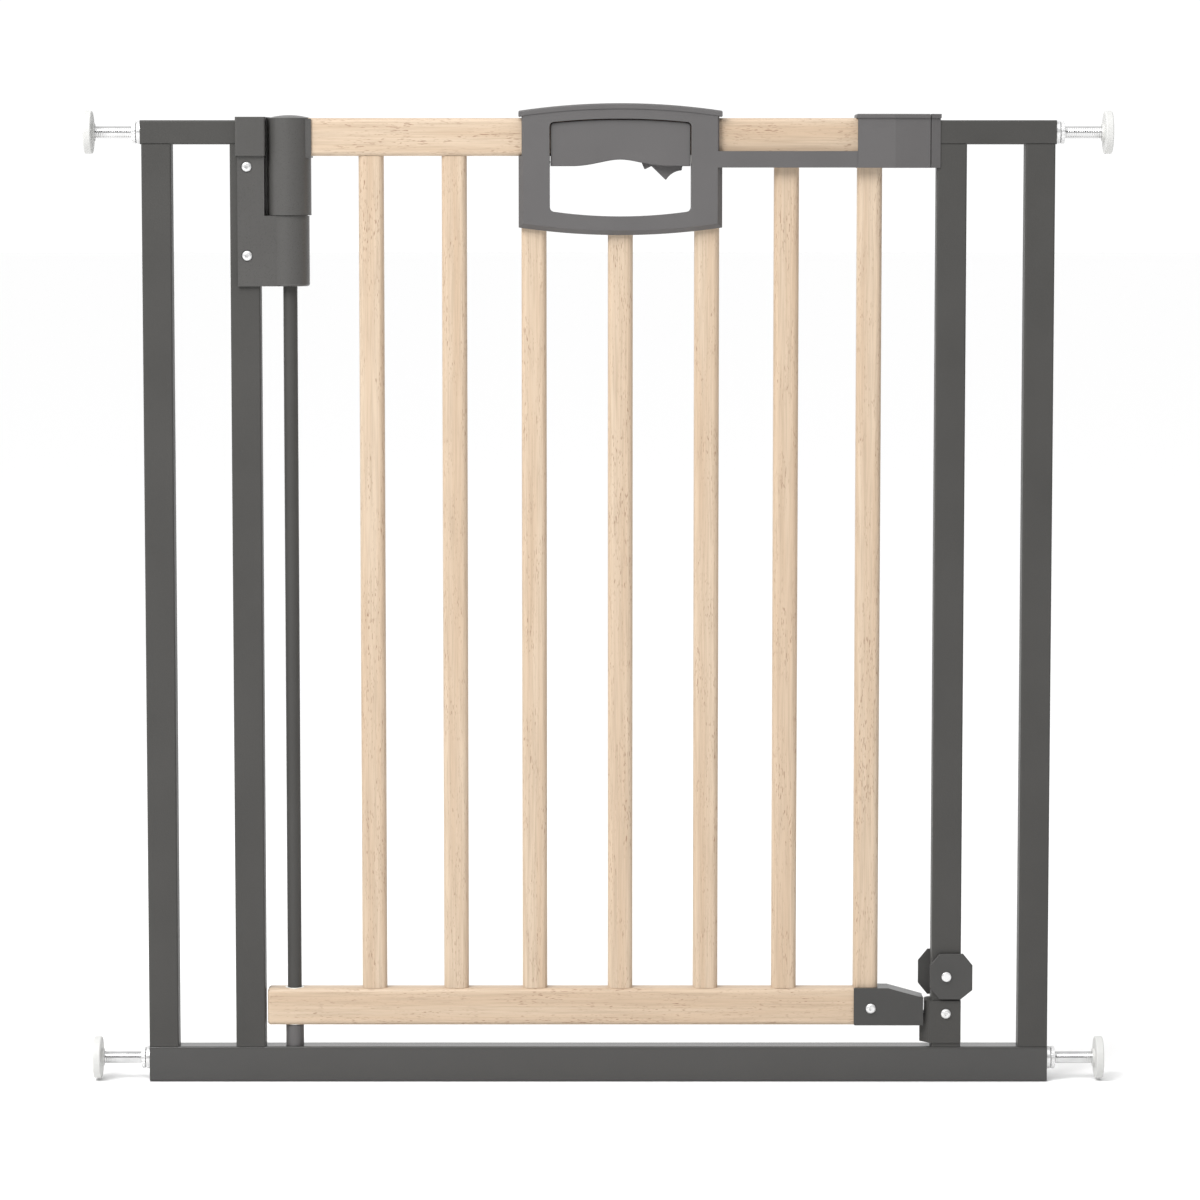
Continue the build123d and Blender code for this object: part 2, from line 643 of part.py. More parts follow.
# ---- Hinge, door side --------------------------------------------------------------------------
# Sleeve: a hollow barrel with a guide tube round the rod and a strap round the rail's end.
with BuildPart() as hinge_sleeve:
    upright(hinge_x, 0, sleeve_radius, (sleeve_bottom, sleeve_top))
    hollow = (sleeve_bottom, sleeve_top - sleeve_roof)
    upright(hinge_x, 0, sleeve_radius - sleeve_wall, hollow, Mode.SUBTRACT)
    upright(hinge_x, 0, guide_radius, (sleeve_bottom, sleeve_top))
    with Locations((hinge_x, 0, hollow[0] + sleeve_roof / 2)):
        with PolarLocations(0, sleeve_ribs, start_angle=180 / sleeve_ribs):
            Box(
                sleeve_radius - sleeve_wall / 2,
                sleeve_rib,
                hollow[1] - hollow[0] - sleeve_roof / 2,
                align=(Align.MIN, Align.CENTER, Align.MIN),
            )
    block(
        (hinge_x + guide_radius - 1, strap_right),
        (-strap_half_depth, strap_half_depth),
        (top_wood_bottom - strap_thickness, sleeve_top),
    )
    block(
        (top_wood_ends[0], strap_right),
        (-wood_half_depth, wood_half_depth),
        (top_wood_bottom, sleeve_top),
        Mode.SUBTRACT,
    )
    upright(hinge_x, 0, rod_bore, (sleeve_bottom, sleeve_top), Mode.SUBTRACT)
save(hinge_sleeve.part, "hinge_sleeve")

# Sleeve cap: a shallow dome over the sleeve and the strap.
with BuildPart() as hinge_cap:
    upright(hinge_x, 0, sleeve_radius, (sleeve_top, sleeve_top + hinge_cap_height))
    dome_radius = sleeve_radius * hinge_cap_dome
    dome_centre = sleeve_top + hinge_cap_height - dome_radius
    with Locations((hinge_x, 0, dome_centre)):
        Sphere(dome_radius, mode=Mode.INTERSECT)
    block(
        (top_wood_ends[0], strap_right),
        (-wood_half_depth, wood_half_depth),
        (sleeve_top, top_wood_top),
        Mode.SUBTRACT,
    )
save(hinge_cap.part, "hinge_cap")

# Bushes: one pressed into each end of the rod's hole in the bottom wooden rail.
with BuildPart() as rail_bushes:
    for low in (bottom_wood_bottom, bottom_wood_top - rail_bush_length):
        upright(hinge_x, 0, rail_bush_radius, (low, low + rail_bush_length))
        upright(hinge_x, 0, rod_bore, (low, low + rail_bush_length), Mode.SUBTRACT)
save(rail_bushes.part, "rail_bushes")

# ---- Handle ------------------------------------------------------------------------------------
def bow(half, radius):
    """How far a curve of this radius bows over this half width."""
    return radius - (radius**2 - half**2) ** 0.5


def bowed_outline(half, low, high, low_bow, high_bow):
    """Edges of a shape about the door's centre: upright sides, a bottom bowed down and a top bowed up."""
    left = door_centre - half
    right = door_centre + half
    with BuildLine() as outline:
        ThreePointArc((left, low + low_bow), (door_centre, low), (right, low + low_bow))
        Line((right, low + low_bow), (right, high - high_bow))
        ThreePointArc((right, high - high_bow), (door_centre, high), (left, high - high_bow))
        Line((left, high - high_bow), (left, low + low_bow))
    return outline.edges()


handle_bow = bow(handle_half_width, handle_curve)
shell_top = handle_top - handle_cap_height
shell_bow = bow(handle_half_width, handle_curve - handle_cap_height)
grip_bow = bow(grip_half_width, grip_curve)
grip_top_bow = bow(grip_half_width, handle_curve - handle_top + grip_top)
inner_half = handle_neck_half_width - handle_wall
inner_bow = bow(inner_half, handle_curve)
cover_left = door_centre + handle_half_width - handle_bevel[0]
handle_ends = (door_centre - handle_half_width, door_centre + handle_half_width)
left_window = (door_centre - inner_half, door_centre)
right_window = (door_centre + grip_half_width, door_centre + handle_neck_half_width)
for name, facing in (("handle_front", 1), ("handle_back", -1)):
    with BuildPart() as shell:
        with BuildSketch(Plane.XZ):
            make_face(bowed_outline(handle_half_width, handle_bottom, shell_top, handle_bow, shell_bow))
        extrude(amount=facing * handle_half_depth)
        face = shell.faces().sort_by(Axis.Y)[0 if facing > 0 else -1]
        rim = face.edges().sort_by(Axis.Z)[:-1]
        chamfer(rim, handle_bevel[1], handle_bevel[0], reference=face)
        with BuildSketch(Plane.XZ):
            cavity_bottom = handle_bottom + handle_wall
            make_face(bowed_outline(inner_half, cavity_bottom, shell_top - handle_wall, inner_bow, inner_bow))
        extrude(amount=facing * (handle_half_depth - handle_wall), mode=Mode.SUBTRACT)
        with BuildSketch(Plane.XZ):
            ring_half = grip_half_width + handle_wall
            ring_bottom = grip_bottom - handle_wall
            ring_top = grip_top + handle_wall
            make_face(bowed_outline(ring_half, ring_bottom, ring_top, grip_bow, grip_top_bow))
        extrude(amount=facing * (handle_half_depth - handle_skin))
        for boss_x in boss_places:
            for height in boss_heights:
                boss_depth = sorted((0, -facing * (handle_half_depth - handle_skin)))
                rod_along_y(boss_x, height, boss_radius, boss_depth)
        with BuildSketch(Plane.XZ):
            make_face(bowed_outline(grip_half_width, grip_bottom, grip_top, grip_bow, grip_top_bow))
            fillet(vertices(), grip_radius)
        extrude(amount=facing * handle_half_depth, mode=Mode.SUBTRACT)
        # the wooden rail passes through both sides, which are narrower beside it
        rail_depth = (-wood_half_depth, wood_half_depth)
        block(handle_ends, rail_depth, (top_wood_bottom, top_wood_top), Mode.SUBTRACT)
        for side in (-1, 1):
            neck = (door_centre + side * handle_neck_half_width, door_centre + side * (handle_half_width + 1))
            whole_depth = (-handle_half_depth, handle_half_depth)
            block(sorted(neck), whole_depth, (top_wood_bottom, shell_top), Mode.SUBTRACT)
        for shift in handle_slats:
            with BuildSketch(Plane.XY.offset(handle_bottom - 1)):
                with Locations((door_centre + shift, 0)):
                    RectangleRounded(slat_width, slat_depth, slat_radius)
            extrude(amount=handle_slat_top - handle_bottom + 1, mode=Mode.SUBTRACT)
        # behind the face, the grip's left side and top give the slider room to move
        window_half = slider_half_depth + slider_face_gap
        window_height = (slider_low - slider_gap, grip_top + slider_gap / 2)
        block(left_window, (-window_half, window_half), window_height, Mode.SUBTRACT)
        if facing > 0:
            rod_way = (pull_rod_depth[0] - rod_way_gap, -wood_half_depth)
            rod_way_height = (pull_rod_bottom - rod_way_gap, pull_rod_top + rod_way_gap)
            block(right_window, rod_way, rod_way_height, Mode.SUBTRACT)
            cover_depth = (-handle_half_depth, -wood_half_depth)
            block((cover_left, handle_ends[1]), cover_depth, (cover_bottom, cover_top), Mode.SUBTRACT)
        for boss_x in boss_places:
            for height in boss_heights:
                screw_way = (-handle_screw_reach, handle_half_depth)
                rod_along_y(boss_x, height, handle_screw_radius, screw_way, Mode.SUBTRACT)
                if facing < 0:
                    sink = (handle_half_depth - handle_screw_sink, handle_half_depth)
                    rod_along_y(boss_x, height, handle_screw_head, sink, Mode.SUBTRACT)
    save(shell.part, name)

# Handle cap: a bowed strip along the top of both shells.
with BuildPart() as handle_cap:
    cap_half_depth = handle_half_depth + handle_cap_overhang
    low_end = shell_top - shell_bow
    high_end = handle_top - handle_bow
    left, right = handle_ends
    with BuildSketch(Plane.XZ.offset(-cap_half_depth)):
        with BuildLine():
            ThreePointArc((left, low_end), (door_centre, shell_top), (right, low_end))
            Line((right, low_end), (right, high_end))
            ThreePointArc((right, high_end), (door_centre, handle_top), (left, high_end))
            Line((left, high_end), (left, low_end))
        make_face()
    extrude(amount=2 * cap_half_depth)
    top_face = handle_cap.faces().sort_by(Axis.Z)[-1]
    fillet(top_face.edges(), handle_cap_rounding)
save(handle_cap.part, "handle_cap")

# ---- Slider and trigger ------------------------------------------------------------------------
# Slider shells: a panel on each side of the top rail, joined by the grip below it.
slider_bow = bow(slider_half_width, handle_curve - handle_top + slider_top)
wave_half = slider_half_width - slider_wave_inset
grip_roof = top_wood_bottom - clearance
trigger_room = [pivot_x + end for end in trigger_room_ends]
trigger_room_depth = (-trigger_depth / 2 - trigger_side_gap, trigger_depth / 2 + trigger_side_gap)
trigger_pin_ends = (-trigger_pin_half_length, trigger_pin_half_length)
for name, facing in (("slider_front", 1), ("slider_back", -1)):
    with BuildPart() as panel:
        with BuildSketch(Plane.XZ):
            with BuildLine():
                Line((slider_left, slider_low), (door_centre - wave_half, slider_low))
                Spline(
                    (door_centre - wave_half, slider_low),
                    (door_centre, slider_waist),
                    (door_centre + wave_half, slider_low),
                    tangents=[(1, 0), (1, 0)],
                )
                Line((door_centre + wave_half, slider_low), (slider_right, slider_low))
                Line((slider_right, slider_low), (slider_right, slider_top - slider_bow))
                ThreePointArc(
                    (slider_right, slider_top - slider_bow),
                    (door_centre, slider_top),
                    (slider_left, slider_top - slider_bow),
                )
                Line((slider_left, slider_top - slider_bow), (slider_left, slider_low))
            make_face()
            end_corners = vertices().filter_by(lambda corner: abs(corner.X - door_centre) > wave_half + 1)
            fillet(end_corners.group_by(Axis.Y)[-1], slider_corner)
            fillet(end_corners.group_by(Axis.Y)[0], slider_corner / 3)
        extrude(amount=facing * slider_half_depth)
        outer = panel.faces().sort_by(Axis.Y)[0 if facing > 0 else -1]
        fillet(outer.edges(), slider_rounding)
        rail_room = (-slider_half_depth + slider_wall, slider_half_depth - slider_wall)
        block((slider_left, slider_right), rail_room, (grip_roof, slider_top + 1), Mode.SUBTRACT)
        block(trigger_room, trigger_room_depth, (slider_low - 2, grip_roof), Mode.SUBTRACT)
        rod_along_y(pivot_x, pivot_z, trigger_pin_radius, trigger_pin_ends, Mode.SUBTRACT)
        if facing > 0:
            rod_socket = (slider_right - pull_rod_socket, slider_right + 1)
            block(rod_socket, pull_rod_depth, (pull_rod_bottom, pull_rod_top), Mode.SUBTRACT)
    save(panel.part, name)

with BuildPart() as trigger_pin:
    rod_along_y(pivot_x, pivot_z, trigger_pin_radius, trigger_pin_ends)
save(trigger_pin.part, "trigger_pin")

# Trigger: a rocker with a small and a large finger rest below the slider.
with BuildPart() as trigger:
    with BuildSketch(Plane.XZ.offset(-trigger_depth / 2)):
        with Locations((pivot_x, pivot_z)):
            with BuildLine(mode=Mode.PRIVATE) as outline:
                Polyline(trigger_tail, trigger_small_rest, trigger_notch, trigger_peak)
                ThreePointArc(trigger_peak, trigger_hollow, trigger_heel)
                Polyline(trigger_heel, trigger_heel_top, trigger_tail)
            add(make_face(outline.edges(), mode=Mode.PRIVATE))
        fillet(vertices(), trigger_rounding)
        with Locations((pivot_x, pivot_z)):
            Circle(trigger_boss_radius)
            Circle(trigger_pin_radius + running_fit, mode=Mode.SUBTRACT)
    extrude(amount=trigger_depth)
save(trigger.part, "trigger")

# Pull rod: a flat strip from the slider to the latch bolt, in front of the wooden rail.
with BuildPart() as pull_rod:
    rod_ends = (slider_right - pull_rod_socket, bolt_back)
    block(rod_ends, pull_rod_depth, (pull_rod_bottom, pull_rod_top))
save(pull_rod.part, "pull_rod")

# Latch bolt: a square tongue with a crank that meets the pull rod.
with BuildPart() as latch_bolt:
    block((bolt_back, bolt_tip), (-bolt_width / 2, bolt_width / 2), (bolt_bottom, bolt_top))
    chamfer(latch_bolt.edges().group_by(Axis.X)[-1], end_chamfer)
    crank = (bolt_back, bolt_back + crank_length)
    block(crank, (pull_rod_depth[0], -bolt_width / 2), (pull_rod_bottom, bolt_top))
save(latch_bolt.part, "latch_bolt")

# Return spring: a coil between the handle's side and the slider.
return_start = door_centre - inner_half + return_wire + return_end_gap
return_length = slider_left - return_start - return_wire - return_end_gap
with BuildPart() as return_spring:
    with BuildLine() as return_coil:
        Helix(
            return_length / return_turns,
            return_length,
            return_radius,
            center=(return_start, 0, slider_low + return_rise),
            direction=(1, 0, 0),
        )
    with BuildSketch(Plane(return_coil.line @ 0, z_dir=return_coil.line % 0)):
        Circle(return_wire)
    sweep(path=return_coil.line, is_frenet=True)
save(return_spring.part, "return_spring")

# Rod cover: a channel, open to the wooden rail, from the handle to the lock housing.
with BuildPart() as rod_cover:
    cover_ends = (cover_left, housing_left)
    cover_depth = (-handle_half_depth, -wood_half_depth)
    channel_depth = (cover_depth[0] + cover_wall, cover_depth[1])
    block(cover_ends, cover_depth, (cover_bottom, cover_top))
    block(cover_ends, channel_depth, (cover_bottom + cover_wall, cover_top - cover_wall), Mode.SUBTRACT)
save(rod_cover.part, "rod_cover")

# ---- Lock housing and keeper -------------------------------------------------------------------
def housing_outline(grow):
    """The housing's plan: square at the left, slanting in on both sides towards the lock post."""
    side = housing_half_depth + grow
    end = housing_end_half_depth + grow
    left = housing_left - grow
    with BuildLine() as outline:
        Polyline(
            (left, -side),
            (housing_break, -side),
            (housing_right, -end),
            (housing_right, end),
            (housing_break, side),
            (left, side),
            close=True,
        )
    return outline.edges()


with BuildPart() as lock_housing:
    with BuildSketch(Plane.XY.offset(housing_bottom)):
        make_face(housing_outline(0))
    extrude(amount=top_wood_top - housing_bottom)
    with BuildSketch(Plane.XY.offset(housing_bottom + housing_wall)):
        make_face(housing_outline(0))
        offset(amount=-housing_wall, mode=Mode.REPLACE)
    extrude(amount=top_wood_top - housing_bottom, mode=Mode.SUBTRACT)
    for start in housing_rib_starts:
        rib = (housing_left + start, housing_left + start + housing_rib)
        rib_half = housing_half_depth - housing_wall / 2
        block(rib, (-rib_half, rib_half), (housing_bottom, top_wood_top))
    guide = (housing_right - housing_guide_inset, housing_right - housing_guide_inset + housing_guide)
    block(guide, (-housing_end_half_depth, housing_end_half_depth), (housing_bottom, top_wood_top))
    block(
        (housing_left, top_wood_ends[1] + clearance),
        (-wood_half_depth, wood_half_depth),
        (top_wood_bottom, top_wood_top),
        Mode.SUBTRACT,
    )
    with BuildSketch(Plane.XY.offset(housing_bottom)):
        with Locations((lock_slat_x, 0)):
            RectangleRounded(slat_width, slat_depth, slat_radius)
    extrude(amount=top_wood_bottom - housing_bottom, mode=Mode.SUBTRACT)
    block(
        (housing_left, lock_slat_x - slat_width / 4),
        (-slat_depth / 2, slat_depth / 2),
        (housing_bottom, top_wood_bottom),
        Mode.SUBTRACT,
    )
    rod_room = (pull_rod_depth[0] - clearance, -wood_half_depth)
    rod_room_height = (pull_rod_bottom - clearance, pull_rod_top + clearance)
    block((housing_left, bolt_back + crank_length), rod_room, rod_room_height, Mode.SUBTRACT)
    crank_room = (bolt_back - slider_travel - clearance, bolt_back + crank_length + clearance)
    crank_room_height = (pull_rod_bottom - clearance, bolt_top + clearance)
    block(crank_room, rod_room, crank_room_height, Mode.SUBTRACT)
    block(
        (bolt_back, housing_right + 1),
        (-bolt_width / 2 - clearance, bolt_width / 2 + clearance),
        (bolt_bottom - clearance, bolt_top + clearance),
        Mode.SUBTRACT,
    )
    screw_way = (0, housing_half_depth)
    rod_along_y(lock_slat_x, housing_screw_height, handle_screw_radius, screw_way, Mode.SUBTRACT)
save(lock_housing.part, "lock_housing")

with BuildPart() as lock_cap:
    with BuildSketch(Plane.XY.offset(top_wood_top)):
        make_face(housing_outline(cap_overhang))
    extrude(amount=cap_height)
    chamfer(lock_cap.faces().sort_by(Axis.Z)[-1].edges(), cap_chamfer)
save(lock_cap.part, "lock_cap")

# Keeper: a block on the lock post, with a pocket tall enough for the bolt to rise with the door.
keeper_right = inner_face + keeper_grasp
keeper_end_half_depth = half_depth + keeper_side
with BuildPart() as latch_keeper:
    for low, high, grow in (
        (housing_bottom, top_wood_top, 0),
        (top_wood_top, top_wood_top + cap_height, cap_overhang),
    ):
        near = housing_end_half_depth + grow
        far = keeper_end_half_depth + grow
        right = keeper_right + grow / 2
        with BuildSketch(Plane.XY.offset(low)):
            with BuildLine():
                Polyline((keeper_left, -near), (right, -far), (right, far), (keeper_left, near), close=True)
            make_face()
        extrude(amount=high - low)
    post_room = (inner_face, keeper_right + cap_overhang)
    block(post_room, (-half_depth, half_depth), (housing_bottom, frame_height), Mode.SUBTRACT)
    pocket_half = bolt_width / 2 + bolt_play
    pocket = (bolt_bottom - bolt_play, bolt_top + lift_travel + bolt_play)
    block((keeper_left, inner_face), (-pocket_half, pocket_half), pocket, Mode.SUBTRACT)
    rod_along_x(0, keeper_screw_height, screw_radius, (keeper_left, inner_face), Mode.SUBTRACT)
    recess = (keeper_left, keeper_left + screw_head_height + clearance)
    rod_along_x(0, keeper_screw_height, screw_head_radius + screw_recess_gap, recess, Mode.SUBTRACT)
save(latch_keeper.part, "latch_keeper")

# ---- Bottom arm and catch ----------------------------------------------------------------------
def arm_outline(drop):
    """Edges of the arm's side: level, then sloping down to its end. drop lowers the top edge."""
    with BuildLine() as outline:
        Polyline(
            (arm_left - drop, arm_bottom - drop),
            (arm_right + drop, arm_bottom - drop),
            (arm_right + drop, arm_end_top - drop),
            (arm_bend, arm_top - drop),
            (arm_left - drop, arm_top - drop),
            close=True,
        )
    return outline.edges()


with BuildPart() as bottom_arm:
    with BuildSketch(Plane.XZ.offset(-arm_half_depth)):
        make_face(arm_outline(0))
        fillet(vertices().group_by(Axis.X)[0], arm_rounding)
    extrude(amount=2 * arm_half_depth)
    with BuildSketch(Plane.XZ.offset(-wood_half_depth)):
        make_face(arm_outline(sheet))
    extrude(amount=wood_depth, mode=Mode.SUBTRACT)
    with BuildSketch(Plane.XY.offset(arm_top - sheet)):
        with Locations((lock_slat_x, 0)):
            RectangleRounded(slat_width, slat_depth, slat_radius)
    extrude(amount=sheet, mode=Mode.SUBTRACT)
    block(
        (arm_left, lock_slat_x - slat_width / 4),
        (-slat_depth / 2, slat_depth / 2),
        (arm_top - sheet, arm_top),
        Mode.SUBTRACT,
    )
    rod_along_y(arm_screw_x, arm_screw_height, screw_radius, (-arm_half_depth, 0), Mode.SUBTRACT)
save(bottom_arm.part, "bottom_arm")

# Catch: a saddle on the lock post whose nose the arm's open end drops over.
catch_body_left = inner_face - post_lip
catch_right = inner_post_x + post_width / 2
with BuildPart() as bottom_catch:
    with BuildSketch(Plane.XY.offset(catch_bottom)):
        with BuildLine():
            Polyline(
                (nose_tip, -nose_half_width),
                (catch_body_left, -catch_half_depth),
                (catch_right, -catch_half_depth),
                (catch_right, catch_half_depth),
                (catch_body_left, catch_half_depth),
                (nose_tip, nose_half_width),
                close=True,
            )
        make_face()
    extrude(amount=catch_top - catch_bottom)
    whole_depth = (-catch_half_depth, catch_half_depth)
    block((nose_tip - 1, arm_right + nose_gap), whole_depth, (nose_top, catch_top), Mode.SUBTRACT)
    nose_edges = bottom_catch.edges().filter_by(lambda edge: edge.center().X < nose_tip + clearance)
    fillet(nose_edges.filter_by(Axis.Z), nose_rounding)
    block((inner_face, catch_right), (-half_depth, half_depth), (catch_bottom, catch_top), Mode.SUBTRACT)
    rod_along_y(stop_x, catch_screw_height, screw_radius, (-catch_half_depth, 0), Mode.SUBTRACT)
save(bottom_catch.part, "bottom_catch")

# ---- Direction stop ----------------------------------------------------------------------------
# Plates: eight-sided and off centre. The front one is turned away, so the door can open to the front.
for name, facing in (("stop_plate_front", 1), ("stop_plate_back", -1)):
    with BuildPart() as stop_plate:
        near = stop_x - facing * stop_near
        far = stop_x + facing * stop_far
        with BuildSketch(Plane.XZ.offset(facing * stop_inner)):
            with Locations(((near + far) / 2, stop_height)):
                Rectangle(stop_near + stop_far, 2 * stop_half_height)
            chamfer(vertices(), stop_chamfer[1], stop_chamfer[0])
            with Locations((stop_x, stop_height)):
                Circle(stop_shaft_radius, mode=Mode.SUBTRACT)
        extrude(amount=facing * stop_thickness)
        outer = stop_plate.faces().sort_by(Axis.Y)[0 if facing > 0 else -1]
        fillet(outer.edges().filter_by(GeomType.LINE), stop_rounding)
    save(stop_plate.part, name)

# Bushes: a flanged half from each side of the post.
with BuildPart() as stop_bushes:
    for side in (-1, 1):
        half_bush = sorted((side * stop_bush_gap, side * half_depth))
        rod_along_y(stop_x, stop_height, stop_bush_radius, half_bush)
        flange = sorted((side * half_depth, side * (stop_inner - clearance)))
        rod_along_y(stop_x, stop_height, stop_flange_radius, flange)
    bore = stop_shaft_radius + running_fit
    rod_along_y(stop_x, stop_height, bore, (-stop_inner, stop_inner), Mode.SUBTRACT)
save(stop_bushes.part, "stop_bushes")

with BuildPart() as stop_shaft:
    plate_face = stop_inner + stop_thickness
    rod_along_y(stop_x, stop_height, stop_shaft_radius, (-plate_face, plate_face))
    for side in (-1, 1):
        head = sorted((side * plate_face, side * (plate_face + screw_head_height)))
        rod_along_y(stop_x, stop_height, screw_head_radius, head)
    for end in (0, -1):
        fillet(stop_shaft.edges().group_by(Axis.Y)[end], screw_head_rounding)
save(stop_shaft.part, "stop_shaft")

# ---- Screws ------------------------------------------------------------------------------------
def button_screw(x, z, seat, facing):
    """A button-head screw along Y with its head outside the face at seat. facing is -1 at the front."""
    head = sorted((seat, seat + facing * screw_head_height))
    socket = sorted((seat + facing * screw_socket_floor, seat + facing * screw_head_height))
    rod_along_y(x, z, screw_head_radius, head)
    rod_along_y(x, z, screw_radius, sorted((seat, seat - facing * screw_length)))
    rod_along_y(x, z, screw_socket_radius, socket, Mode.SUBTRACT)


with BuildPart() as frame_screws:
    for height in hinge_screw_heights:
        button_screw(hinge_screw_x, height, hinge_screw_seat, -1)
    button_screw(stop_x, catch_screw_height, -catch_half_depth, -1)
    keeper_seat = keeper_left + screw_head_height + clearance
    rod_along_x(0, keeper_screw_height, screw_head_radius, (keeper_seat - screw_head_height, keeper_seat))
    rod_along_x(0, keeper_screw_height, screw_radius, (keeper_seat, inner_face + screw_length))
save(frame_screws.part, "frame_screws")

with BuildPart() as door_screws:
    button_screw(arm_screw_x, arm_screw_height, -arm_half_depth, -1)
    head_seat = handle_half_depth - handle_screw_sink
    for boss_x in boss_places:
        for height in boss_heights:
            rod_along_y(boss_x, height, handle_screw_head, (head_seat, head_seat + screw_head_height))
            rod_along_y(boss_x, height, handle_screw_radius, (-handle_screw_reach, head_seat))
    head_radius, head_height = housing_screw_head
    head = (housing_half_depth, housing_half_depth + head_height)
    rod_along_y(lock_slat_x, housing_screw_height, head_radius, head)
    shank = (wood_half_depth, housing_half_depth)
    rod_along_y(lock_slat_x, housing_screw_height, handle_screw_radius, shank)
save(door_screws.part, "door_screws")
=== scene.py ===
import json
import math

import bmesh
import bpy
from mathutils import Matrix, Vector


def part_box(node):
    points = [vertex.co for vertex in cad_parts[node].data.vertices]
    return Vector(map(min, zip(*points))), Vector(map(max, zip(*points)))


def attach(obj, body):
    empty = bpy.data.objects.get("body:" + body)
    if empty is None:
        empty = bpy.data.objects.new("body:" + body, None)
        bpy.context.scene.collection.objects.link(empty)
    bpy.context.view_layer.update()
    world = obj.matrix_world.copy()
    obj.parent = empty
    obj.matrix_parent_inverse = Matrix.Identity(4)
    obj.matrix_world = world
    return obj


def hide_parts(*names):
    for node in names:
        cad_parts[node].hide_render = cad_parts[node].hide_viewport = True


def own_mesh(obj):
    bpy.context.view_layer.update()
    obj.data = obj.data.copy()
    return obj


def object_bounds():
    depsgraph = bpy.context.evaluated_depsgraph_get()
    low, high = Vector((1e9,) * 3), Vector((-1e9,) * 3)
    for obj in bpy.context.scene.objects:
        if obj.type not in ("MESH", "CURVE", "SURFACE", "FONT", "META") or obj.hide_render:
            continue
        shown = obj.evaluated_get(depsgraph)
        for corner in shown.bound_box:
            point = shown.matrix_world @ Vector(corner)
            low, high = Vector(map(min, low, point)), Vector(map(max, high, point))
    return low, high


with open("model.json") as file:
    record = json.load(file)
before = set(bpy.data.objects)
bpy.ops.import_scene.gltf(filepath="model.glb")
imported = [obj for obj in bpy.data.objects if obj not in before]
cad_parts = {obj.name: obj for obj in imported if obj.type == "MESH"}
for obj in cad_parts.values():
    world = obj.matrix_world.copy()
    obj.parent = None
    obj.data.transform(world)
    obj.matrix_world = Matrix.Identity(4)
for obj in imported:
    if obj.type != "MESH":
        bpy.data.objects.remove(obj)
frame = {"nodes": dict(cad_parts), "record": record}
cad_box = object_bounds()
record = frame["record"]

# ---- Camera, light and floor -------------------------------------------------------------------
CAMERA_DISTANCE = 3.667
CAMERA_HEIGHT = 0.748
CAMERA_PITCH = 5.23  # degrees below level
CAMERA_LENS = 130.5  # mm
CAMERA_SHIFT = (0.0014, -0.001)
SENSOR_WIDTH = 36.0  # mm
CAMERA_REACH = 200.0
FLOOR_RADIUS = 60.0
FLOOR_DROP = 0.0004  # the floor lies just under the gate
FLOOR_PALE = (0.93, 0.93, 0.93, 1.0)
KEY_PLACE = (-1.5, -2.2, 2.6)
KEY_AIM = (0.0, 0.0, 0.5)
KEY_SIZE = 1.6
KEY_POWER = 84.0  # W
SUN_STRENGTH = 1.0
SUN_SPREAD = 60.0  # degrees across
SUN_TILT = (25.0, -12.0)  # degrees about X and Y
WORLD_SEEN = 1.05
WORLD_STRENGTH = 0.88
WORLD_LEAN = (-0.2, 0.55, 1.2)  # how much brighter it gets to the right, the back and the top
WORLD_LEVEL = 0.35
WORLD_DARKEST = 0.12


def make_camera():
    """A long lens in front of the gate, looking slightly down at its middle."""
    camera = bpy.data.objects.new("camera", bpy.data.cameras.new("camera"))
    bpy.context.scene.collection.objects.link(camera)
    camera.location = (0.0, -CAMERA_DISTANCE, CAMERA_HEIGHT)
    camera.rotation_euler = (math.radians(90 - CAMERA_PITCH), 0.0, 0.0)
    camera.data.lens = CAMERA_LENS
    camera.data.sensor_width = SENSOR_WIDTH
    camera.data.shift_x, camera.data.shift_y = CAMERA_SHIFT
    camera.data.clip_end = CAMERA_REACH
    bpy.context.scene.camera = camera


def soft_light(name, place, aim, size, power):
    """A square softbox at a place, turned to face the point aim."""
    light = bpy.data.lights.new(name, "AREA")
    light.shape = "SQUARE"
    light.size = size
    light.energy = power
    lamp = bpy.data.objects.new(name, light)
    bpy.context.scene.collection.objects.link(lamp)
    lamp.location = place
    lamp.rotation_euler = (Vector(aim) - Vector(place)).to_track_quat("-Z", "Y").to_euler()


def make_sun():
    """Even light from overhead that reaches the far floor as well as the gate."""
    light = bpy.data.lights.new("sun", "SUN")
    light.energy = SUN_STRENGTH
    light.angle = math.radians(SUN_SPREAD)
    lamp = bpy.data.objects.new("sun", light)
    bpy.context.scene.collection.objects.link(lamp)
    lamp.rotation_euler = (math.radians(SUN_TILT[0]), math.radians(SUN_TILT[1]), 0.0)


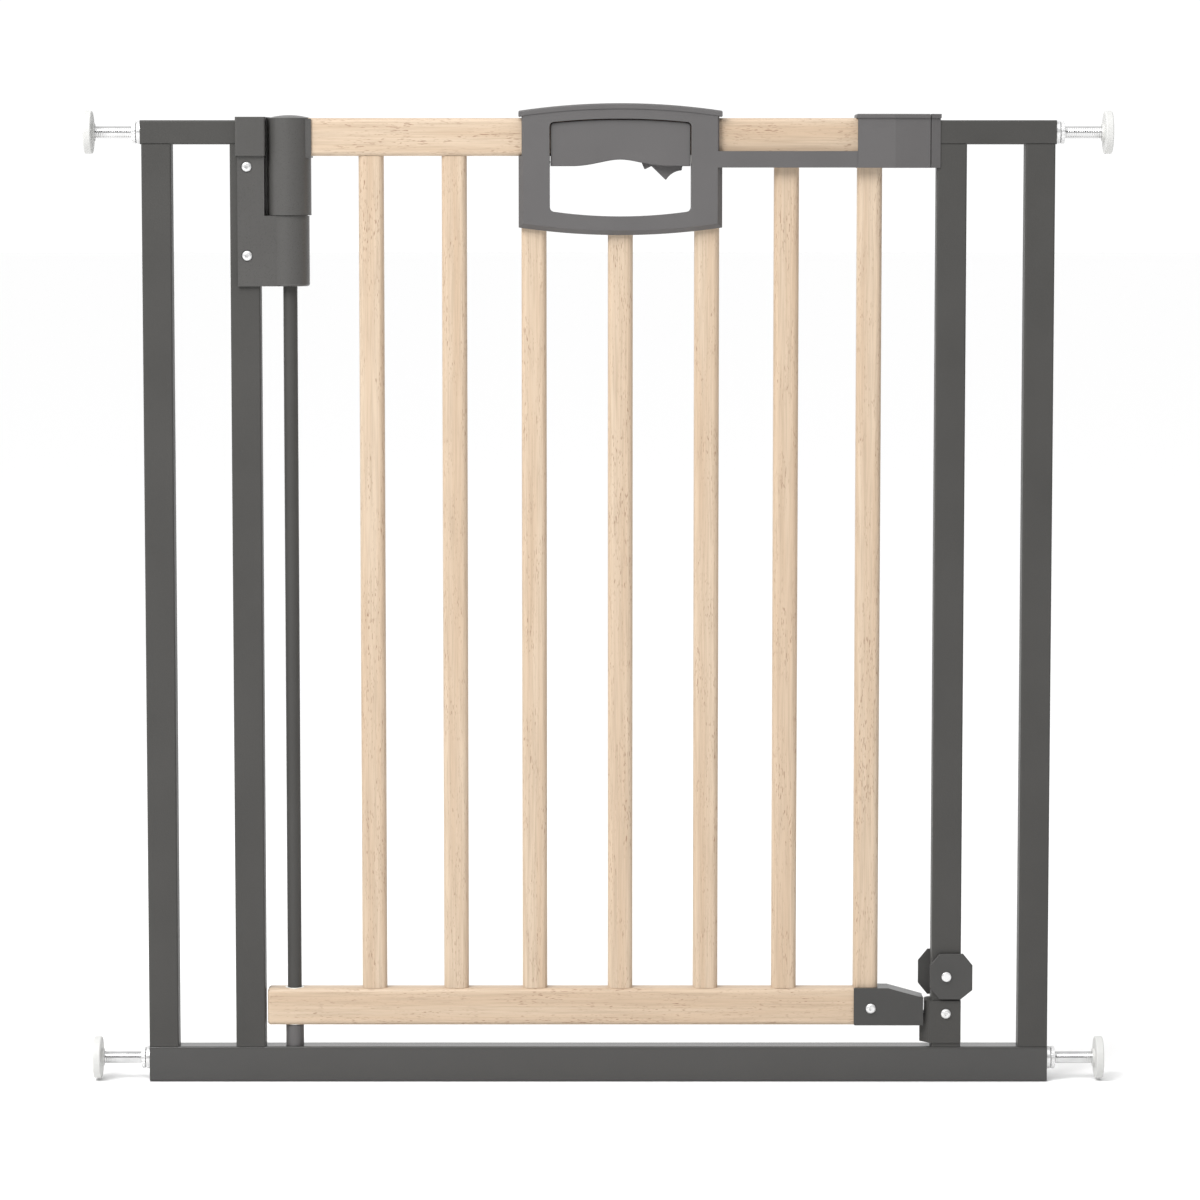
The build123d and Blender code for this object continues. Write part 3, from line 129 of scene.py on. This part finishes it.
def make_world():
    """White for the camera. For everything else, bright overhead and behind, and dim in front."""
    world = bpy.data.worlds.new("studio")
    bpy.context.scene.world = world
    world.use_nodes = True
    nodes = world.node_tree.nodes
    links = world.node_tree.links
    fill = nodes["Background"]
    seen = nodes.new("ShaderNodeBackground")
    seen.inputs["Color"].default_value = (1.0, 1.0, 1.0, 1.0)
    seen.inputs["Strength"].default_value = WORLD_SEEN
    direction = nodes.new("ShaderNodeTexCoord")
    lean = nodes.new("ShaderNodeVectorMath")
    lean.operation = "DOT_PRODUCT"
    lean.inputs[1].default_value = WORLD_LEAN
    links.new(direction.outputs["Generated"], lean.inputs[0])
    level = nodes.new("ShaderNodeMapRange")
    settings = {"From Min": WORLD_DARKEST, "From Max": 1.0, "To Min": WORLD_DARKEST, "To Max": 1.0}
    for socket, number in settings.items():
        level.inputs[socket].default_value = number
    raised = nodes.new("ShaderNodeMath")
    raised.inputs[1].default_value = WORLD_LEVEL
    links.new(lean.outputs["Value"], raised.inputs[0])
    links.new(raised.outputs["Value"], level.inputs["Value"])
    links.new(level.outputs["Result"], fill.inputs["Color"])
    fill.inputs["Strength"].default_value = WORLD_STRENGTH
    path = nodes.new("ShaderNodeLightPath")
    mix = nodes.new("ShaderNodeMixShader")
    links.new(path.outputs["Is Camera Ray"], mix.inputs["Fac"])
    links.new(fill.outputs["Background"], mix.inputs[1])
    links.new(seen.outputs["Background"], mix.inputs[2])
    links.new(mix.outputs["Shader"], nodes["World Output"].inputs["Surface"])


def make_floor():
    """A wide plain floor that the gate stands on."""
    mesh = bpy.data.meshes.new("floor")
    shape = bmesh.new()
    bmesh.ops.create_circle(shape, cap_ends=True, radius=FLOOR_RADIUS, segments=96)
    shape.to_mesh(mesh)
    shape.free()
    floor = bpy.data.objects.new("floor", mesh)
    bpy.context.scene.collection.objects.link(floor)
    floor.location.z = cad_box[0].z - FLOOR_DROP
    paint = bpy.data.materials.new("floor_paint")
    paint.use_nodes = True
    shader = paint.node_tree.nodes["Principled BSDF"]
    shader.inputs["Base Color"].default_value = FLOOR_PALE
    shader.inputs["Roughness"].default_value = 0.9
    shader.inputs["Specular IOR Level"].default_value = 0.0
    mesh.materials.append(paint)


make_camera()
make_world()
make_sun()
make_floor()
soft_light("key", KEY_PLACE, KEY_AIM, KEY_SIZE, KEY_POWER)
bpy.context.scene.view_settings.view_transform = "Standard"


# ---- Materials ---------------------------------------------------------------------------------
MIDDLE = (0.3, 0.7)  # the stretch of a noise that holds nearly all of its values


class Surface:
    """A material being built: its shader, its nodes and the point on the object in metres."""

    def __init__(self, name, roughness, metallic=0.0):
        self.material = bpy.data.materials.new(name)
        self.material.use_nodes = True
        self.tree = self.material.node_tree
        self.shader = self.tree.nodes["Principled BSDF"]
        self.shader.inputs["Roughness"].default_value = roughness
        self.shader.inputs["Metallic"].default_value = metallic
        self.point = self.tree.nodes.new("ShaderNodeTexCoord").outputs["Object"]

    def link(self, output, socket):
        self.tree.links.new(output, socket)

    def stretched(self, scale, shift=(0.0, 0.0, 0.0)):
        """The point, scaled along each axis and shifted."""
        mapping = self.tree.nodes.new("ShaderNodeMapping")
        mapping.inputs["Scale"].default_value = scale
        mapping.inputs["Location"].default_value = shift
        self.link(self.point, mapping.inputs["Vector"])
        return mapping.outputs["Vector"]

    def noise(self, vector, scale, detail=2.0, roughness=0.5, distortion=0.0):
        """Soft noise from 0 to 1."""
        texture = self.tree.nodes.new("ShaderNodeTexNoise")
        texture.inputs["Scale"].default_value = scale
        texture.inputs["Detail"].default_value = detail
        texture.inputs["Roughness"].default_value = roughness
        texture.inputs["Distortion"].default_value = distortion
        self.link(vector, texture.inputs["Vector"])
        return texture.outputs["Fac"]

    def between(self, value, low, high, to_low=0.0, to_high=1.0):
        """The value's stretch from low to high, mapped to to_low and to_high and held there."""
        node = self.tree.nodes.new("ShaderNodeMapRange")
        settings = {"From Min": low, "From Max": high, "To Min": to_low, "To Max": to_high}
        for socket, number in settings.items():
            node.inputs[socket].default_value = number
        self.link(value, node.inputs["Value"])
        return node.outputs["Result"]

    def mixed(self, factor, first, second):
        """A colour that goes from first to second as factor goes from 0 to 1."""
        node = self.tree.nodes.new("ShaderNodeMix")
        node.data_type = "RGBA"
        self.link(factor, node.inputs["Factor"])
        for colour, socket in ((first, node.inputs["A"]), (second, node.inputs["B"])):
            if isinstance(colour, tuple):
                socket.default_value = (*colour, 1.0)
            else:
                self.link(colour, socket)
        return node.outputs["Result"]

    def colour(self, output):
        self.link(output, self.shader.inputs["Base Color"])

    def rough(self, output):
        self.link(output, self.shader.inputs["Roughness"])

    def bumps(self, *layers):
        """Bump from layers of (height, strength, distance), each laid over the one before."""
        normal = None
        for height, strength, distance in layers:
            bump = self.tree.nodes.new("ShaderNodeBump")
            bump.inputs["Strength"].default_value = strength
            bump.inputs["Distance"].default_value = distance
            self.link(height, bump.inputs["Height"])
            if normal:
                self.link(normal, bump.inputs["Normal"])
            normal = bump.outputs["Normal"]
        self.link(normal, self.shader.inputs["Normal"])


def shade(colour, factor):
    """The colour made lighter or darker."""
    return tuple(channel * factor for channel in colour)


ORANGE_PEEL = 620.0  # noise scales, in features to the metre
COAT_SPECKLE = 1900.0
COAT_CLOUDS = 14.0
PLASTIC_CLOUDS = 22.0
PLASTIC_GRAIN = 1500.0
METAL_HAZE = 60.0
THREAD_HAZE = 90.0
DRAWN_LINES = (60.0, 2600.0, 2600.0)


def powder_coat(name, colour, gloss=0.0):
    """Satin powder coat on steel: a fine orange peel and slight clouds in the colour."""
    paint = Surface(name, 0.45)
    paint.shader.inputs["Specular IOR Level"].default_value = 0.2
    paint.shader.inputs["Coat Weight"].default_value = gloss
    paint.shader.inputs["Coat Roughness"].default_value = 0.12
    clouds = paint.noise(paint.point, COAT_CLOUDS, 3.0)
    speckle = paint.noise(paint.point, COAT_SPECKLE, 2.0)
    cloudy = paint.mixed(paint.between(clouds, *MIDDLE), shade(colour, 0.95), shade(colour, 1.05))
    specks = paint.between(speckle, 0.58, 0.75, 0.0, 0.35)
    flecked = paint.mixed(specks, cloudy, shade(colour, 1.5))
    paint.colour(flecked)
    paint.rough(paint.between(clouds, *MIDDLE, 0.42, 0.5))
    peel = paint.noise(paint.point, ORANGE_PEEL, 2.0)
    paint.bumps((peel, 0.22, 0.0004), (speckle, 0.12, 0.0002))
    return paint.material


def moulded_plastic(name, colour, roughness=0.5):
    """Moulded plastic with a fine spark-eroded texture."""
    plastic = Surface(name, roughness)
    clouds = plastic.noise(plastic.point, PLASTIC_CLOUDS, 2.0)
    grain = plastic.noise(plastic.point, PLASTIC_GRAIN, 3.0, 0.6)
    cloudy = plastic.between(clouds, *MIDDLE)
    plastic.colour(plastic.mixed(cloudy, shade(colour, 0.96), shade(colour, 1.04)))
    plastic.rough(plastic.between(grain, *MIDDLE, roughness - 0.05, roughness + 0.07))
    plastic.bumps((grain, 0.25, 0.0003))
    return plastic.material


def plated_metal(name, colour, roughness, metallic=1.0):
    """Plated or drawn metal with a faint haze and fine drawing lines."""
    metal = Surface(name, roughness, metallic)
    haze = metal.noise(metal.point, METAL_HAZE, 3.0)
    lines = metal.noise(metal.stretched(DRAWN_LINES), 1.0, 2.0)
    metal.colour(metal.mixed(metal.between(haze, *MIDDLE), shade(colour, 0.95), colour))
    metal.rough(metal.between(haze, *MIDDLE, roughness * 0.8, roughness * 1.3))
    metal.bumps((lines, 0.05, 0.0001))
    return metal.material


WAVE_LENGTH = 0.314  # of one band of Blender's wave texture at a scale of 1


def threaded_metal(name, colour, roughness, pitch):
    """Bright plated metal with a shallow thread round the X axis."""
    metal = Surface(name, roughness, metallic=1.0)
    wave = metal.tree.nodes.new("ShaderNodeTexWave")
    wave.bands_direction = "X"
    wave.inputs["Scale"].default_value = 1.0
    wave.inputs["Distortion"].default_value = 0.0
    metal.link(metal.stretched((WAVE_LENGTH / pitch, 0.0, 0.0)), wave.inputs["Vector"])
    haze = metal.noise(metal.point, THREAD_HAZE, 3.0)
    metal.colour(metal.mixed(metal.between(haze, *MIDDLE), shade(colour, 0.86), colour))
    metal.bumps((wave.outputs["Fac"], 0.5, 0.0004), (haze, 0.1, 0.0005))
    return metal.material


BEECH_PALE = (0.585, 0.465, 0.345)
BEECH_WARM = (0.53, 0.395, 0.275)
BEECH_FLECK = (0.22, 0.115, 0.065)


def beech(name, along, seed):
    """Steamed beech with a matt lacquer. along is the grain's axis, 0 for X or 2 for Z."""
    wood = Surface(name, 0.5)
    shift = (seed * 3.17, seed * 1.31, seed * 2.23)

    def grained(length, width):
        """The point, stretched so that a pattern is length long and width wide, in metres."""
        scale = tuple(1 / length if axis == along else 1 / width for axis in range(3))
        return wood.stretched(scale, shift)

    bands = wood.noise(grained(0.35, 0.012), 1.0, 3.0, 0.55, 0.4)
    streaks = wood.noise(grained(0.05, 0.0013), 1.0, 4.0, 0.6)
    fibres = wood.noise(grained(0.012, 0.00035), 1.0, 2.0)
    flecks = wood.noise(grained(0.0055, 0.0007), 1.0, 1.0)
    patches = wood.noise(grained(0.05, 0.009), 1.0, 2.0)
    ground = wood.mixed(wood.between(bands, 0.35, 0.65), BEECH_PALE, BEECH_WARM)
    streaky = wood.between(streaks, 0.42, 0.72, 0.0, 0.62)
    lined = wood.mixed(streaky, ground, shade(BEECH_WARM, 0.72))
    fleck_mask = wood.between(flecks, 0.6, 0.7, 0.0, 0.8)
    patchy = wood.between(patches, 0.4, 0.62)
    both = wood.tree.nodes.new("ShaderNodeMath")
    both.operation = "MULTIPLY"
    wood.link(fleck_mask, both.inputs[0])
    wood.link(patchy, both.inputs[1])
    wood.colour(wood.mixed(both.outputs[0], lined, BEECH_FLECK))
    wood.rough(wood.between(fibres, *MIDDLE, 0.44, 0.56))
    wood.bumps((streaks, 0.1, 0.0003), (fibres, 0.1, 0.0001))
    wood.shader.inputs["Coat Weight"].default_value = 0.12
    wood.shader.inputs["Coat Roughness"].default_value = 0.35
    return wood.material


def paint_node(name, material):
    """Give a CAD node a material."""
    slots = frame["nodes"][name].data.materials
    slots.clear()
    slots.append(material)


FRAME_GREY = (0.060, 0.0585, 0.0555)
PLASTIC_GREY = (0.096, 0.092, 0.092)
HINGE_GREY = (0.072, 0.070, 0.067)
STOP_GREY = (0.048, 0.047, 0.045)
finishes = {
    "frame_steel": powder_coat("powder_coat", FRAME_GREY),
    "dark_plastic": moulded_plastic("grey_plastic", PLASTIC_GREY),
    "zinc": plated_metal("zinc_plate", (0.76, 0.76, 0.76), 0.25, 0.5),
    "bright_steel": plated_metal("drawn_steel", (0.6, 0.59, 0.57), 0.3),
    "nylon": moulded_plastic("natural_nylon", (0.78, 0.77, 0.72), 0.42),
    "pad_white": moulded_plastic("pad_white", (0.6, 0.6, 0.585), 0.5),
}
hinge_plastic = moulded_plastic("hinge_plastic", HINGE_GREY, 0.3)
stop_plastic = moulded_plastic("stop_plastic", STOP_GREY, 0.5)
# Painted shade: the bottom rail and the arm get copies of the frame's powder coat, darkened to 0.64
# and 0.62 of its grey and given a glossy coat, so that their top faces catch a bright grazing
# reflection.
rail_coat_painted_shade = powder_coat("rail_coat_painted_shade", shade(FRAME_GREY, 0.64), 0.9)
arm_coat_painted_shade = powder_coat("arm_coat_painted_shade", shade(FRAME_GREY, 0.62), 0.6)
own_finishes = {
    "hinge_bracket": hinge_plastic,
    "hinge_sleeve": hinge_plastic,
    "hinge_cap": hinge_plastic,
    "stop_plate_front": stop_plastic,
    "stop_plate_back": stop_plastic,
    "bottom_rail": rail_coat_painted_shade,
    "bottom_arm": arm_coat_painted_shade,
}
THREAD_PITCH = 0.0015
spindle_zinc = threaded_metal("spindle_zinc", (0.7, 0.7, 0.7), 0.22, THREAD_PITCH)
for number, subpart in enumerate(record["subparts"]):
    node = subpart["node"]
    if subpart["material_slot"] == "beech":
        grain_axis = 2 if node.startswith("slat") else 0
        paint_node(node, beech(f"beech_{node}", grain_axis, number + 1))
    elif node.startswith("spindle"):
        paint_node(node, spindle_zinc)
    else:
        paint_node(node, own_finishes.get(node, finishes[subpart["material_slot"]]))


# ---- Screws ------------------------------------------------------------------------------------
HEAD_RADIUS = 0.0042
HEAD_HEIGHT = 0.0022
SOCKET_RADIUS = 0.0016
SHANK_RADIUS = 0.002
SHORT_SCREW = 0.008
SMOOTH_BELOW = 35  # degrees between two faces
AROUND = 48


def new_piece(name, shape, material, body, node):
    """Finish a mesh: smooth it, paint it, ride it on its body and let it stand for its CAD node."""
    mesh = bpy.data.meshes.new(name)
    bmesh.ops.recalc_face_normals(shape, faces=shape.faces)
    for face in shape.faces:
        face.smooth = True
    for edge in shape.edges:
        edge.smooth = len(edge.link_faces) != 2 or edge.calc_face_angle() < math.radians(SMOOTH_BELOW)
    shape.to_mesh(mesh)
    shape.free()
    mesh.materials.append(material)
    piece = bpy.data.objects.new(name, mesh)
    bpy.context.scene.collection.objects.link(piece)
    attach(piece, body)
    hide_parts(node)
    return piece


def add_turned(shape, place, toward, profile, hexed=()):
    """A turned solid at a place, along the way toward. profile lists (radius, distance along).

    The rings numbered in hexed are six-sided instead of round.
    """
    turn = Vector(toward).to_track_quat("Z", "X").to_matrix()
    rings = []
    for number, (radius, along) in enumerate(profile):
        ring = []
        for step in range(AROUND):
            angle = 2 * math.pi * step / AROUND
            reach = radius
            if number in hexed:
                reach *= math.cos(math.pi / 6) / math.cos(angle % (math.pi / 3) - math.pi / 6)
            local = Vector((reach * math.cos(angle), reach * math.sin(angle), along))
            ring.append(shape.verts.new(Vector(place) + turn @ local))
        rings.append(ring)
    for first, second in zip(rings, rings[1:]):
        for step in range(AROUND):
            after = (step + 1) % AROUND
            shape.faces.new((first[step], first[after], second[after], second[step]))
    shape.faces.new(rings[0])
    shape.faces.new(rings[-1])


def add_screw(
    shape, place, toward, head=HEAD_RADIUS, height=HEAD_HEIGHT, shank=SHANK_RADIUS, length=SHORT_SCREW
):
    """A button-head screw whose head stands on the face at place, with a six-sided socket."""
    scale = head / HEAD_RADIUS
    socket = SOCKET_RADIUS * scale
    profile = [(shank, -length), (shank, -0.0002), (head * 0.88, 0.0), (head * 0.97, height * 0.14),
               (head, height * 0.3), (head * 0.95, height * 0.55), (head * 0.8, height * 0.8),
               (head * 0.6, height * 0.95), (head * 0.48, height), (socket, height * 0.97),
               (socket * 0.94, height * 0.4), (socket * 0.4, height * 0.36)]
    add_turned(shape, place, toward, profile, hexed=(9, 10))


joints = {joint["name"]: joint for joint in record["behaviour"]["joints"]}
FRONT = (0.0, -1.0, 0.0)
BACK = (0.0, 1.0, 0.0)
TO_THE_LEFT = (-1.0, 0.0, 0.0)
rail_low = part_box("top_wood_rail")[0]

# Where the frame's screws sit on the pieces that they hold.
BRACKET_SCREW_RISE = 0.0256  # the lower one, above the bracket's foot
BRACKET_SCREW_DROP = 0.0091  # the upper one, below the top wooden rail's underside
BRACKET_WALL = 0.003  # between the post's face and the bracket's front
BRACKET_SCREW_SINK = 0.001  # below the bracket's front
CATCH_SCREW_DROP = 0.011  # below the catch's top
KEEPER_SCREW_RISE = 0.007  # above the keeper's foot
KEEPER_SCREW_LENGTH = 0.0127
KEEPER_HEAD_ROOM = 0.0004  # between the head and the keeper's open side


def frame_screw_set():
    """The screws of the hinge bracket, the bottom catch and the latch keeper."""
    shape = bmesh.new()
    bracket_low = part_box("hinge_bracket")[0]
    post_low, post_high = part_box("inner_post_right")
    bracket_face = (post_high.y - post_low.y) / 2 + BRACKET_WALL
    bracket_screw_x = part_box("frame_screws")[0].x + HEAD_RADIUS
    for height in (bracket_low.z + BRACKET_SCREW_RISE, rail_low.z - BRACKET_SCREW_DROP):
        add_screw(shape, (bracket_screw_x, BRACKET_SCREW_SINK - bracket_face, height), FRONT)
    catch_low, catch_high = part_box("bottom_catch")
    catch_screw_x = joints["stop_turn"]["pos_m"][0]
    add_screw(shape, (catch_screw_x, catch_low.y, catch_high.z - CATCH_SCREW_DROP), FRONT)
    keeper_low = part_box("latch_keeper")[0]
    keeper_seat = keeper_low.x + HEAD_HEIGHT + KEEPER_HEAD_ROOM
    keeper_place = (keeper_seat, 0.0, keeper_low.z + KEEPER_SCREW_RISE)
    add_screw(shape, keeper_place, TO_THE_LEFT, length=KEEPER_SCREW_LENGTH)
    new_piece("frame_screw_set", shape, finishes["zinc"], "frame", "frame_screws")


# Where the door's screws sit on the pieces that they hold.
ARM_SCREW_ALONG = 0.0144  # from the arm's left end
ARM_SCREW_RISE = 0.0147  # above the bottom wooden rail's underside
HANDLE_SCREW_SPREAD = 0.07095  # to each side of the handle's middle
HANDLE_SCREW_RISES = (0.0258, 0.0478)  # above the handle's foot
HANDLE_SCREW_SINK = 0.003  # below the handle's back
HANDLE_SCREW_LENGTH = 0.0245
COVER_SCREW_ALONG = 0.0105  # from the lock housing's left side
COVER_SCREW_RISE = 0.015  # above the top wooden rail's underside
SMALL_SHANK = 0.0015


def door_screw_set():
    """The screws of the bottom arm, the handle's back shell and the lock housing's back."""
    shape = bmesh.new()
    arm_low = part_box("bottom_arm")[0]
    lower_rail_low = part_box("bottom_wood_rail")[0]
    arm_place = (arm_low.x + ARM_SCREW_ALONG, arm_low.y, lower_rail_low.z + ARM_SCREW_RISE)
    add_screw(shape, arm_place, FRONT)
    handle_low, handle_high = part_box("handle_back")
    handle_middle = (handle_low.x + handle_high.x) / 2
    handle_seat = handle_high.y - HANDLE_SCREW_SINK
    for side in (-1, 1):
        for rise in HANDLE_SCREW_RISES:
            place = (handle_middle + side * HANDLE_SCREW_SPREAD, handle_seat, handle_low.z + rise)
            add_screw(shape, place, BACK, head=0.0028, shank=SMALL_SHANK, length=HANDLE_SCREW_LENGTH)
    housing_low, housing_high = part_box("lock_housing")
    cover_place = (housing_low.x + COVER_SCREW_ALONG, housing_high.y, rail_low.z + COVER_SCREW_RISE)
    add_screw(shape, cover_place, BACK, head=0.003, height=0.0012, shank=SMALL_SHANK)
    new_piece("door_screw_set", shape, finishes["zinc"], "door", "door_screws")


frame_screw_set()
door_screw_set()

# ---- Return spring -----------------------------------------------------------------------------
SPRING_TURNS = 9
SPRING_WIRE = 0.0004  # radius
SPRING_STEPS = 24  # to a turn
SPRING_SIDES = 8
SIDEWAYS = Vector((1.0, 0.0, 0.0))
spring_low, spring_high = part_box("return_spring")
spring_middle = (spring_low + spring_high) / 2


def spring_ring(shape, step):
    """The wire's ring of points at one step along the coil, which runs along X."""
    radius = (spring_high.z - spring_low.z) / 2 - SPRING_WIRE
    length = spring_high.x - spring_low.x - 2 * SPRING_WIRE
    along = spring_low.x + SPRING_WIRE + length * step / (SPRING_TURNS * SPRING_STEPS)
    angle = 2 * math.pi * step / SPRING_STEPS
    out = Vector((0.0, math.cos(angle), math.sin(angle)))
    middle = Vector((along, 0.0, spring_middle.z)) + out * radius
    ring = []
    for side in range(SPRING_SIDES):
        around = 2 * math.pi * side / SPRING_SIDES
        way = out * math.cos(around) + SIDEWAYS * math.sin(around)
        ring.append(shape.verts.new(middle + way * SPRING_WIRE))
    return ring


def return_coil():
    """The coil that pushes the slider back. It shortens as the slider is pulled."""
    shape = bmesh.new()
    rings = [spring_ring(shape, step) for step in range(SPRING_TURNS * SPRING_STEPS + 1)]
    for first, second in zip(rings, rings[1:]):
        for side in range(SPRING_SIDES):
            after = (side + 1) % SPRING_SIDES
            shape.faces.new((first[side], first[after], second[after], second[side]))
    shape.faces.new(rings[0])
    shape.faces.new(rings[-1])
    coil = new_piece("return_coil", shape, finishes["bright_steel"], "door", "return_spring")
    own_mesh(coil)


return_coil()
